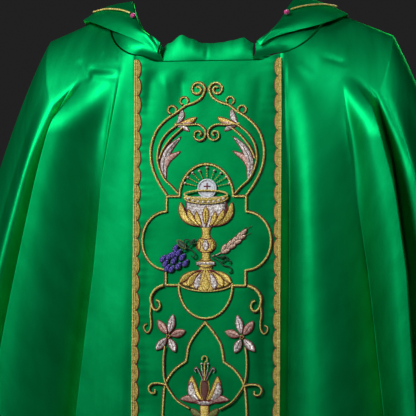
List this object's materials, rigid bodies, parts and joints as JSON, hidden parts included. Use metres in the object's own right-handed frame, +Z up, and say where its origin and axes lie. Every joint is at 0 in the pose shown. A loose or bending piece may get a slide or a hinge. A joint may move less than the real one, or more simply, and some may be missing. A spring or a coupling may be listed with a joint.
{
  "type": "chasuble",
  "caption": "Hanging green satin chasuble with a turned-over collar, gold-braided centre panels and an embroidered chalice and host on the front.",
  "frame": {"origin": "midway between the shoulders that the garment hangs on, level with the base of the neck", "axes": "+Z up; -Y is the way the front faces; +X is to the right of a person who looks at the front"},
  "size_m": [0.86, 0.3044, 1.2193],
  "materials": {
    "satin": "glossy woven satin",
    "gold_thread": "metallic gold thread, satin stitch",
    "silver_thread": "metallic silver thread with pink shading",
    "violet_thread": "silk thread",
    "green_thread": "silk thread",
    "beige_thread": "silk thread",
    "white_thread": "silk thread",
    "pearl": "small beads",
    "gem": "polished"
  },
  "bodies": {
    "root": {"front_centre_panel": "satin", "front_side_panel_left": "satin", "front_side_panel_right": "satin", "back_centre_panel": "satin", "back_side_panel_left": "satin", "back_side_panel_right": "satin", "collar_front_band": "satin", "collar_stand": "satin", "collar_fall": "satin", "quatrefoil_cord": "gold_thread", "ogee_cord": "gold_thread", "chalice_cup": "gold_thread", "chalice_rim": "gold_thread", "chalice_stem": "gold_thread", "chalice_foot": "gold_thread", "host_rays": "gold_thread", "tulip": "gold_thread", "back_quatrefoil_cord": "gold_thread", "back_cross": "gold_thread", "front_braid_left": "gold_thread", "front_edge_cord_left": "gold_thread", "back_braid_left": "gold_thread", "back_edge_cord_left": "gold_thread", "collar_cord_left": "gold_thread", "upper_scroll_left": "gold_thread", "inner_stem_left": "gold_thread", "corner_scroll_left": "gold_thread", "flower_stem_left": "gold_thread", "front_braid_right": "gold_thread", "front_edge_cord_right": "gold_thread", "back_braid_right": "gold_thread", "back_edge_cord_right": "gold_thread", "collar_cord_right": "gold_thread", "upper_scroll_right": "gold_thread", "inner_stem_right": "gold_thread", "corner_scroll_right": "gold_thread", "flower_stem_right": "gold_thread", "tulip_stamens": "silver_thread", "lily_left": "silver_thread", "lily_right": "silver_thread", "leaf_left": "silver_thread", "leaf_right": "silver_thread", "small_flower_left": "silver_thread", "small_flower_right": "silver_thread", "grape_cluster": "violet_thread", "grape_vine": "green_thread", "wheat_tendril": "green_thread", "wheat_ear": "beige_thread", "host": "white_thread", "pearl_row": "pearl", "collar_gem_left": "gem", "collar_gem_right": "gem"}
  },
  "joints": []
}
